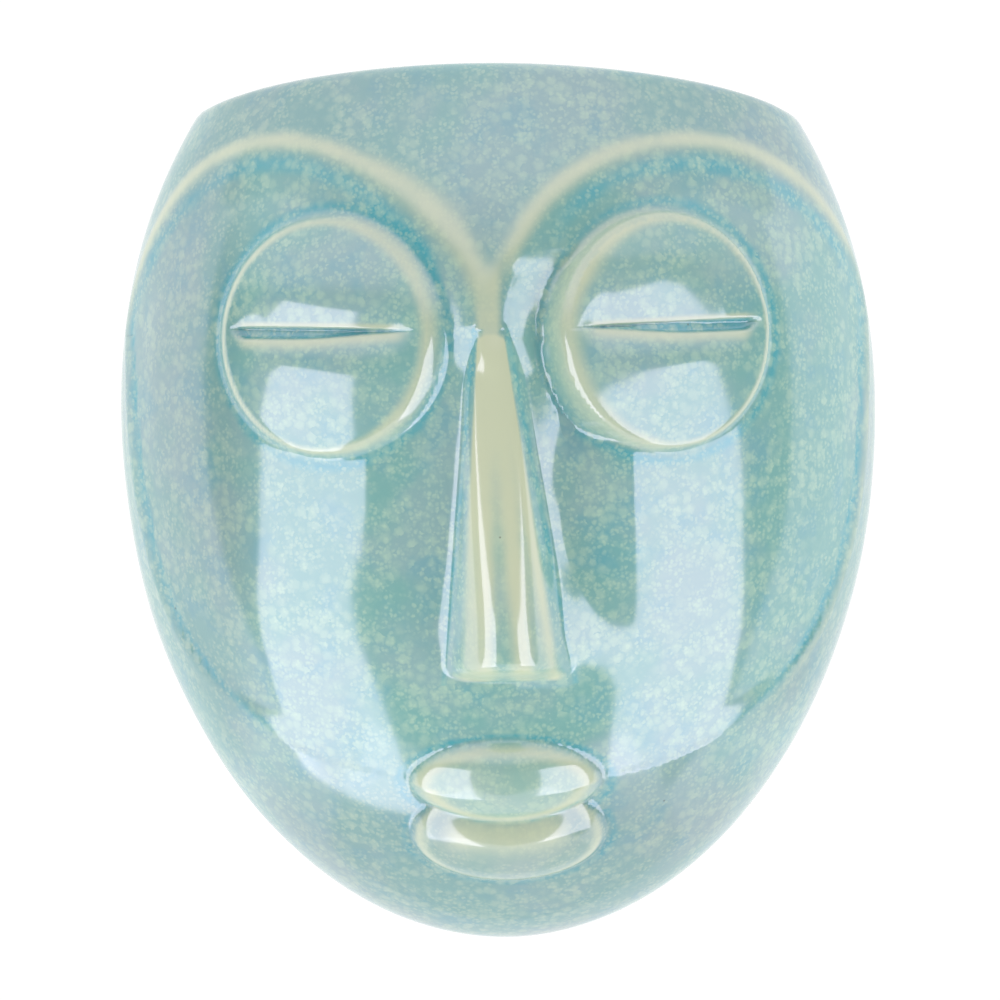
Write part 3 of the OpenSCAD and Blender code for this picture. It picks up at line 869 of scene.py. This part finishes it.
# Keyhole through the back wall, which the screw's head goes into and its neck slides up
KEY_R = 5.5
KEY_Z = -10.0
SLOT_R = 2.55
KEY_CHAMFER = 0.6
KEY_FRONT_Y = BACK_Y - BACK_WALL - 1.5
KEY_BACK_Y = BACK_Y + CUT_PAST
KEY_SIDES = 48

# Bare clay on the back: how far it stays inside the back's edge and below the rim
CLAY_INSET = 2.0
CLAY_BELOW_RIM = 2.5
CLAY_SPAN = 20.0


def make_pot():
    points, thin_and_painted_light, pool, painted_shade = pot_points()
    pot = grid_piece("mask_pot", points)
    add_value(pot, "thin_glaze_and_painted_light", thin_and_painted_light)
    add_value(pot, "pooled_glaze", pool)
    add_value(pot, "glaze_painted_shade", painted_shade)
    close_mesh(pot)
    wide_r = KEY_R + KEY_CHAMFER
    entry = [(KEY_R, KEY_FRONT_Y), (KEY_R, BACK_Y - KEY_CHAMFER), (wide_r, BACK_Y), (wide_r, KEY_BACK_Y)]
    slot = [(SLOT_R, KEY_FRONT_Y), (SLOT_R, KEY_BACK_Y)]
    cut(pot, shift(turned("cutter", entry, KEY_SIDES), 0, KEY_Z))
    cut(pot, turned("cutter", slot, KEY_SIDES))
    cut(pot, block((-SLOT_R, KEY_FRONT_Y, KEY_Z), (SLOT_R, KEY_BACK_Y, 0)))
    mend_cuts(pot)
    x, y, z = np.array([vertex.co for vertex in pot.data.vertices]).T / MM
    below_rim = rim_arch(x) - LIP_ROUND - CLAY_BELOW_RIM - (z - GIRTH_Z)
    on_back = np.minimum(past_back(x, z - GIRTH_Z) - CLAY_INSET, below_rim)
    on_back = np.where(y > BACK_Y - BACK_EDGE, on_back, -BACK_EDGE)
    add_value(pot, "bare_clay", np.clip(0.5 + on_back / CLAY_SPAN, 0, 1))
    return pot


# Screw: pan head, plain neck and a thread that runs into the plug, from the tip to the head
SCREW_SIDES = 40
SCREW = ((0.15, 30.4), (0.9, 28.5), (1.6, 26.4), (1.6, 4.0), (2.25, 2.5), (2.25, -9.6), (4.3, -9.6),
         (4.5, -9.9), (4.5, -10.6), (4.3, -11.3), (3.8, -11.85), (2.9, -12.2), (1.6, -12.37), (0.3, -12.4))
THREAD_R = (1.5, 2.25)
THREAD_HALF_W = 0.55
THREAD_PITCH = 1.8
THREAD_TURNS = 13
THREAD_STEPS = 24
THREAD_FROM_Y = 2.8
CROSS_HALF_W = 0.55
CROSS_HALF_LEN = 2.5
CROSS_FLOOR_Y = -10.4


def make_thread():
    bpy.ops.object.select_all(action="DESELECT")
    bpy.ops.mesh.primitive_circle_add(vertices=3, radius=THREAD_HALF_W * MM, fill_type="NOTHING")
    thread = new_piece("thread")
    root, crest = THREAD_R
    corners = ((root, -THREAD_HALF_W), (crest, 0.0), (root, THREAD_HALF_W))
    for vertex, (r, y) in zip(thread.data.vertices, corners):
        vertex.co = (r * MM, (THREAD_FROM_Y + y) * MM, 0)
    screw = thread.modifiers.new("thread", "SCREW")
    screw.axis = "Y"
    screw.screw_offset = THREAD_PITCH * MM
    screw.iterations = THREAD_TURNS
    screw.steps = screw.render_steps = THREAD_STEPS
    apply_all(thread)
    edit(thread)
    bpy.ops.mesh.fill_holes(sides=3)
    bpy.ops.object.mode_set(mode="OBJECT")
    close_mesh(thread)
    return thread


def make_screw():
    screw = turned("wall_screw_steel", SCREW, SCREW_SIDES)
    wide, long = CROSS_HALF_W, CROSS_HALF_LEN
    front_y = SCREW[-1][1] - CUT_PAST
    cut(screw, block((-long, front_y, -wide), (long, CROSS_FLOOR_Y, wide)))
    cut(screw, block((-wide, front_y, -long), (wide, CROSS_FLOOR_Y, long)))
    thread = make_thread()
    bpy.ops.object.select_all(action="DESELECT")
    thread.select_set(True)
    screw.select_set(True)
    bpy.context.view_layer.objects.active = screw
    bpy.ops.object.join()
    bpy.ops.object.shade_smooth_by_angle(angle=SHARP_TURN)
    return screw


# Plug: a collar, a ribbed barrel with a blind bore, and four legs parted by crossing slits
PLUG_SIDES = 40
PLUG_R = 4.0
PLUG_VALLEY_R = 3.65
PLUG_END_Y = 40.0
PLUG_TIP = ((2.9, 0.0), (3.4, 0.5))
PLUG_RIBS = 9
PLUG_RIB = ((PLUG_VALLEY_R, 2.6), (PLUG_R, 1.2), (PLUG_R, 0.4), (PLUG_VALLEY_R, 0.0))
PLUG_RIB_FROM_Y = 10.0
PLUG_RIB_GAP = 3.1
PLUG_NECK_Y = 8.5
PLUG_COLLAR = ((5.5, 0.0), (5.5, -0.5), (5.2, -0.8))
PLUG_BORE = ((2.3, 38.4), (2.3, -0.1), (2.8, -0.9))
PLUG_SLIT_HALF_W = 0.6
PLUG_SLIT_FROM_Y = 22.0


def make_plug():
    profile = [(r, PLUG_END_Y - y) for r, y in PLUG_TIP]
    for i in reversed(range(PLUG_RIBS)):
        profile += [(r, PLUG_RIB_FROM_Y + i * PLUG_RIB_GAP + y) for r, y in PLUG_RIB]
    profile += [(PLUG_R, PLUG_NECK_Y), (PLUG_R, 0.0), *PLUG_COLLAR]
    plug = turned("wall_plug_nylon", profile, PLUG_SIDES)
    cut(plug, turned("cutter", PLUG_BORE, PLUG_SIDES))
    wide, far, end_y = PLUG_SLIT_HALF_W, PLUG_R + CUT_PAST, PLUG_END_Y + CUT_PAST
    cut(plug, block((-far, PLUG_SLIT_FROM_Y, -wide), (far, end_y, wide)))
    cut(plug, block((-wide, PLUG_SLIT_FROM_Y, -far), (wide, end_y, far)))
    mend_cuts(plug)
    bpy.ops.object.shade_smooth_by_angle(angle=SHARP_TURN)
    return plug


# Pads: soft domes stuck to the flat back, one modelled and three copied
PAD = ((4.9, -2.0), (5.0, -1.85), (5.0, -1.2), (4.7, -0.75),
       (4.0, -0.35), (2.8, -0.1), (1.4, 0.0), (0.2, 0.0))
PAD_SIDES = 48


def make_pads():
    first = turned("pad", PAD, PAD_SIDES)
    pads = {}
    for node in ("pad_upper_left", "pad_upper_right", "pad_lower_left", "pad_lower_right"):
        low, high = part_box(node)
        pad = first.copy()
        pad.data = first.data.copy()
        pad.name = pad.data.name = node + "_silicone"
        bpy.context.scene.collection.objects.link(pad)
        shift(pad, (low.x + high.x) / 2 / MM, (low.z + high.z) / 2 / MM)
        pads[node] = pad
    bpy.data.objects.remove(first)
    return pads


def srgb(r, g, b):
    """Linear colour of a display colour from 0 to 255."""
    return tuple(c / 12.92 if c <= 0.04045 else ((c + 0.055) / 1.055) ** 2.4
                 for c in (r / 255, g / 255, b / 255)) + (1.0,)


class Nodes:
    """Short ways to add and join the nodes of a material or the world."""

    def __init__(self, owner):
        owner.use_nodes = True
        self.tree = owner.node_tree
        self.tree.nodes.clear()

    def put(self, value, socket):
        if isinstance(value, bpy.types.NodeSocket):
            self.tree.links.new(value, socket)
        else:
            socket.default_value = value

    def add(self, kind, inputs=None, **settings):
        node = self.tree.nodes.new(kind)
        for key, value in settings.items():
            setattr(node, key, value)
        for key, value in (inputs or {}).items():
            self.put(value, node.inputs[key])
        return node

    def mix(self, factor, a, b, blend="MIX"):
        inputs = {0: factor, 6: a, 7: b}
        return self.add("ShaderNodeMix", inputs, data_type="RGBA", blend_type=blend).outputs[2]

    def math(self, operation, a, b):
        return self.add("ShaderNodeMath", {0: a, 1: b}, operation=operation).outputs[0]

    def plus(self, a, b):
        return self.math("ADD", a, b)

    def times(self, a, b):
        return self.math("MULTIPLY", a, b)

    def ramp(self, value, low, high, first=0.0, last=1.0):
        limits = {0: value, 1: low, 2: high, 3: first, 4: last}
        return self.add("ShaderNodeMapRange", limits, interpolation_type="SMOOTHSTEP").outputs[0]

    def place(self):
        return self.add("ShaderNodeTexCoord").outputs["Object"]

    def attribute(self, name):
        return self.add("ShaderNodeAttribute", attribute_name=name).outputs["Fac"]

    def noise(self, where, scale, detail, output="Fac"):
        noise = self.add("ShaderNodeTexNoise", {"Vector": where, "Scale": scale, "Detail": detail})
        return noise.outputs[output]

    def cells(self, where, scale):
        """Distance from the middle of each of many cells, and a chance value for the cell."""
        cells = self.add("ShaderNodeTexVoronoi", {"Vector": where, "Scale": scale, "Randomness": 1.0})
        chance = self.add("ShaderNodeSeparateColor", {"Color": cells.outputs["Color"]})
        return cells.outputs["Distance"], chance.outputs["Red"]

    def uneven(self, height, strength, distance):
        bumped = self.add("ShaderNodeBump", {"Height": height, "Strength": strength, "Distance": distance})
        return bumped.outputs["Normal"]

    def straight(self):
        """1 for rays from the camera, also where they have passed through a piece."""
        ray = self.add("ShaderNodeLightPath").outputs
        return self.math("MAXIMUM", ray["Is Camera Ray"], ray["Is Transmission Ray"])

    def finish(self, base, settings):
        shader = self.add("ShaderNodeBsdfPrincipled", {"Base Color": base, **settings})
        self.add("ShaderNodeOutputMaterial", {"Surface": shader.outputs["BSDF"]})


def new_material(name):
    material = bpy.data.materials.new(name)
    return material, Nodes(material)


# Materials: noises are given by scale and detail, and pairs are where a change starts and where it ends
GLAZE_TINTS = (srgb(134, 191, 185), srgb(154, 193, 193))
DRIFT = (40.0, 3.0)
DRIFT_RUN = (0.4, 0.64)
CLOUD_BLUE = srgb(112, 180, 194)
CLOUD = (120.0, 3.0)
CLOUD_RUN = (0.5, 0.7)
CLOUD_SHARE = 0.45
POOL_BLUE = srgb(84, 182, 194)
POOL_RAGGED = 0.6
POOL_RUN = (0.1, 0.95)
CRYSTAL_PALE = srgb(200, 231, 205)
CRYSTAL_SCALES = (460.0, 1100.0)
CRYSTAL_RUN = (0.2, 0.75)
CRYSTAL_CHANCE = (0.1, 0.6)
CRYSTAL_SHARE = 0.45
CRYSTALS_IN_PATCH = 6
PATCH_DETAIL = 2.0
PATCH_RUN = (0.3, 0.58)
JAGS = (1000.0, 3.0)
JAG_SIZE = (0.0011, 0.0011, 0.0011)
# Painted shade: the tint that darkens and greys the glaze where it is painted
PAINTED_SHADE_TINT = (0.82, 0.78, 0.79, 1.0)
# Cream of the thin glaze, also the colour of the painted sheen on the right eye and the painted highlight
# on the lower lip
THIN_CREAM_AND_PAINTED_LIGHT = srgb(220, 228, 194)
THIN_RAGGED = 0.3
THIN_RUN = (0.05, 1.0)
PIT_DARK = srgb(96, 100, 84)
PIT_SCALE = 150.0
PIT_RUN = (0.02, 0.05)
PIT_CHANCE = (0.8, 0.85)
PIT_SHARE = 0.6
CLAYS = (srgb(214, 204, 184), srgb(232, 224, 208))
GROG = (900.0, 4.0)
GROG_HEIGHT = 0.3
CLAY_RAGGED = 0.1
CLAY_RUN = (0.49, 0.53)
GLAZE_WAVE = (90.0, 2.0)
GLAZE_UNEVEN = (0.05, 0.001)
GLAZE_ROUGH = 0.11
CLAY_ROUGHER = 0.76
GLAZE_SHINE = {"IOR": 1.9, "Specular IOR Level": 0.75, "Specular Tint": (0.86, 0.8, 1.0, 1.0)}


def glaze_material():
    material, n = new_material("reactive_glaze")
    where = n.place()
    cloud = n.noise(where, *CLOUD)
    ragged = n.math("SUBTRACT", cloud, 0.5)
    base = n.mix(n.ramp(n.noise(where, *DRIFT), *DRIFT_RUN), *GLAZE_TINTS)
    base = n.mix(n.times(n.ramp(cloud, *CLOUD_RUN), CLOUD_SHARE), base, CLOUD_BLUE)
    pooled = n.plus(n.attribute("pooled_glaze"), n.times(ragged, POOL_RAGGED))
    base = n.mix(n.ramp(pooled, *POOL_RUN), base, POOL_BLUE)

    jags = {0: n.noise(where, *JAGS, "Color"), 1: JAG_SIZE}
    jags = n.add("ShaderNodeVectorMath", jags, operation="MULTIPLY").outputs[0]
    jagged = n.add("ShaderNodeVectorMath", {0: where, 1: jags}, operation="ADD").outputs[0]
    for scale in CRYSTAL_SCALES:
        distance, chance = n.cells(jagged, scale)
        crystal = n.times(n.ramp(distance, *CRYSTAL_RUN, 1.0, 0.0), n.ramp(chance, *CRYSTAL_CHANCE))
        patch = n.noise(where, scale / CRYSTALS_IN_PATCH, PATCH_DETAIL)
        crystal = n.times(crystal, n.ramp(patch, *PATCH_RUN))
        base = n.mix(n.times(crystal, CRYSTAL_SHARE), base, CRYSTAL_PALE)

    # Painted shade: the glaze darkened by its tint
    base = n.mix(n.attribute("glaze_painted_shade"), base, PAINTED_SHADE_TINT, "MULTIPLY")
    # Cream where the glaze runs thin, and the painted sheen and highlight on the right eye and lower lip
    thin_and_painted_light = n.plus(n.attribute("thin_glaze_and_painted_light"), n.times(ragged, THIN_RAGGED))
    base = n.mix(n.ramp(thin_and_painted_light, *THIN_RUN), base, THIN_CREAM_AND_PAINTED_LIGHT)
    distance, chance = n.cells(where, PIT_SCALE)
    pit = n.times(n.ramp(distance, *PIT_RUN, 1.0, 0.0), n.ramp(chance, *PIT_CHANCE))
    base = n.mix(n.times(pit, PIT_SHARE), base, PIT_DARK)
    grog = n.noise(where, *GROG)
    bare = n.ramp(n.plus(n.attribute("bare_clay"), n.times(ragged, CLAY_RAGGED)), *CLAY_RUN)
    base = n.mix(bare, base, n.mix(grog, *CLAYS))

    height = n.plus(n.noise(where, *GLAZE_WAVE), n.times(n.times(grog, bare), GROG_HEIGHT))
    rough = n.plus(n.times(bare, CLAY_ROUGHER), GLAZE_ROUGH)
    n.finish(base, {"Roughness": rough, "Normal": n.uneven(height, *GLAZE_UNEVEN), **GLAZE_SHINE})
    return material


STEEL_TINTS = (srgb(176, 178, 176), srgb(204, 205, 200))
SPANGLE = (900.0, 3.0)
DRAWN = (1.0, 2.0)
DRAWN_STRETCH = (300.0, 6000.0, 300.0)
DRAWN_RUN = (0.3, 0.7)
STEEL_ROUGH = (0.26, 0.4)
STEEL_UNEVEN = (0.15, 0.0001)
EVEN_RUN = (0.35, 0.65)


def steel_material():
    material, n = new_material("zinc_plated_steel")
    where = n.place()
    stretched = n.add("ShaderNodeMapping", {"Vector": where, "Scale": DRAWN_STRETCH}).outputs[0]
    drawn = n.noise(stretched, *DRAWN)
    base = n.mix(n.ramp(n.noise(where, *SPANGLE), *EVEN_RUN), *STEEL_TINTS)
    rough = n.ramp(drawn, *DRAWN_RUN, *STEEL_ROUGH)
    n.finish(base, {"Metallic": 1.0, "Roughness": rough, "Normal": n.uneven(drawn, *STEEL_UNEVEN)})
    return material


NYLON_TINTS = (srgb(138, 141, 143), srgb(152, 155, 156))
NYLON_CLOUD = (260.0, 3.0)
NYLON_GRAIN = (4000.0, 2.0)
NYLON_GRAIN_RUN = (0.3, 0.7)
NYLON_ROUGH = (0.42, 0.56)
NYLON_UNEVEN = (0.2, 0.0001)


def nylon_material():
    material, n = new_material("grey_nylon")
    where = n.place()
    grain = n.noise(where, *NYLON_GRAIN)
    base = n.mix(n.ramp(n.noise(where, *NYLON_CLOUD), *EVEN_RUN), *NYLON_TINTS)
    rough = n.ramp(grain, *NYLON_GRAIN_RUN, *NYLON_ROUGH)
    n.finish(base, {"Roughness": rough, "Normal": n.uneven(grain, *NYLON_UNEVEN)})
    return material


SILICONE_TINTS = (srgb(214, 217, 217), srgb(228, 230, 228))
SILICONE_CLOUD = (340.0, 3.0)
DUST = (2600.0, 3.0)
DUST_RUN = (0.35, 0.7)
SILICONE_ROUGH = (0.3, 0.48)
SILICONE_UNEVEN = (0.1, 0.0002)
SILICONE_CLEAR = {"Transmission Weight": 0.25, "IOR": 1.41}


def silicone_material():
    material, n = new_material("milky_silicone")
    where = n.place()
    cloud = n.noise(where, *SILICONE_CLOUD)
    base = n.mix(n.ramp(cloud, *EVEN_RUN), *SILICONE_TINTS)
    rough = n.ramp(n.noise(where, *DUST), *DUST_RUN, *SILICONE_ROUGH)
    n.finish(base, {"Roughness": rough, "Normal": n.uneven(cloud, *SILICONE_UNEVEN), **SILICONE_CLEAR})
    return material


def dress(piece, material, body, slot, *nodes):
    piece.data.materials.clear()
    piece.data.materials.append(material)
    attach(piece, body)
    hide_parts(*nodes)


dress(make_pot(), glaze_material(), "pot", "glaze", "pot")
dress(make_screw(), steel_material(), "wall_fixing", "screw", "wall_screw")
dress(make_plug(), nylon_material(), "wall_fixing", "plug", "wall_plug")
silicone = silicone_material()
for node, pad in make_pads().items():
    dress(pad, silicone, "pot", "pad", node)


# Camera: far off, level with the middle of the pot and rolled a little, as the photograph was taken
CAMERA_AWAY = 6.0
CAMERA_ROLL = math.radians(-1.1)
FRAME_W = 0.2055
FRAME_AT = Vector((0.0, -0.027, -0.0602))
SENSOR = 36.0


def add_camera():
    data = bpy.data.cameras.new("camera")
    camera = bpy.data.objects.new("camera", data)
    bpy.context.scene.collection.objects.link(camera)
    aim = Matrix.Rotation(math.radians(90), 4, "X") @ Matrix.Rotation(CAMERA_ROLL, 4, "Z")
    back = aim @ Vector((0, 0, 1, 0))
    aim.translation = FRAME_AT + CAMERA_AWAY * back.xyz
    camera.matrix_world = aim
    data.sensor_width = SENSOR
    data.lens = SENSOR * CAMERA_AWAY / FRAME_W
    bpy.context.scene.camera = camera


# Studio: two softboxes low at either side, dim in front, brighter overhead and white behind
SOFTBOX_AWAY = 0.9
SOFTBOX_W = 0.59
SOFTBOX_H = {-1: 1.12, 1: 0.92}
SOFTBOX_AIM = {-1: Vector((-0.724, -0.468, -0.507)), 1: Vector((0.738, -0.519, -0.452))}
SOFTBOX_ROLL = math.radians(25)
SOFTBOX_RADIANCE = {-1: 2.35, 1: 2.3}
DIM_IN_FRONT = 0.2
OVERHEAD = 1.05
OVERHEAD_RUN = (0.0, 0.6)
WHITE_BEHIND = 1.05
BEHIND_RUN = (-0.04, 0.06)
FLOOR_Z = -2.0
FLOOR_SIZE = 3.0
FLOOR_PALE = srgb(236, 236, 234)
WHITE = (1.0, 1.0, 1.0, 1.0)


def add_softbox(side):
    data = bpy.data.lights.new("softbox", "AREA")
    data.shape = "RECTANGLE"
    data.size = SOFTBOX_W
    data.size_y = SOFTBOX_H[side]
    data.energy = SOFTBOX_RADIANCE[side] * math.pi * data.size * data.size_y
    lamp = bpy.data.objects.new("softbox", data)
    bpy.context.scene.collection.objects.link(lamp)
    aim = SOFTBOX_AIM[side].normalized()
    turn = aim.to_track_quat("Z", "Y").to_matrix().to_4x4()
    turn = turn @ Matrix.Rotation(side * SOFTBOX_ROLL, 4, "Z")
    turn.translation = FRAME_AT + SOFTBOX_AWAY * aim
    lamp.matrix_world = turn


def add_world():
    world = bpy.data.worlds.new("studio")
    bpy.context.scene.world = world
    n = Nodes(world)
    split = n.add("ShaderNodeSeparateXYZ", {0: n.add("ShaderNodeTexCoord").outputs["Generated"]})
    behind = n.ramp(split.outputs["Y"], *BEHIND_RUN, DIM_IN_FRONT, WHITE_BEHIND)
    above = n.ramp(split.outputs["Z"], *OVERHEAD_RUN, 0.0, OVERHEAD)
    bright = n.math("MAXIMUM", behind, above)
    seen = n.math("MAXIMUM", bright, n.straight())
    glow = n.add("ShaderNodeBackground", {"Color": WHITE, "Strength": seen})
    n.add("ShaderNodeOutputWorld", {"Surface": glow.outputs[0]})


def add_floor():
    bpy.ops.object.select_all(action="DESELECT")
    bpy.ops.mesh.primitive_plane_add(size=FLOOR_SIZE, location=(0, 0, FLOOR_Z))
    floor = new_piece("floor")
    material, n = new_material("pale_floor")
    paint = n.add("ShaderNodeBsdfDiffuse", {"Color": FLOOR_PALE}).outputs[0]
    white = n.add("ShaderNodeEmission", {"Color": WHITE, "Strength": 1.0}).outputs[0]
    seen = n.add("ShaderNodeMixShader", {0: n.straight(), 1: paint, 2: white})
    n.add("ShaderNodeOutputMaterial", {"Surface": seen.outputs[0]})
    floor.data.materials.append(material)


add_camera()
for side in (-1, 1):
    add_softbox(side)
add_world()
add_floor()

bpy.context.scene.view_settings.view_transform = "Standard"
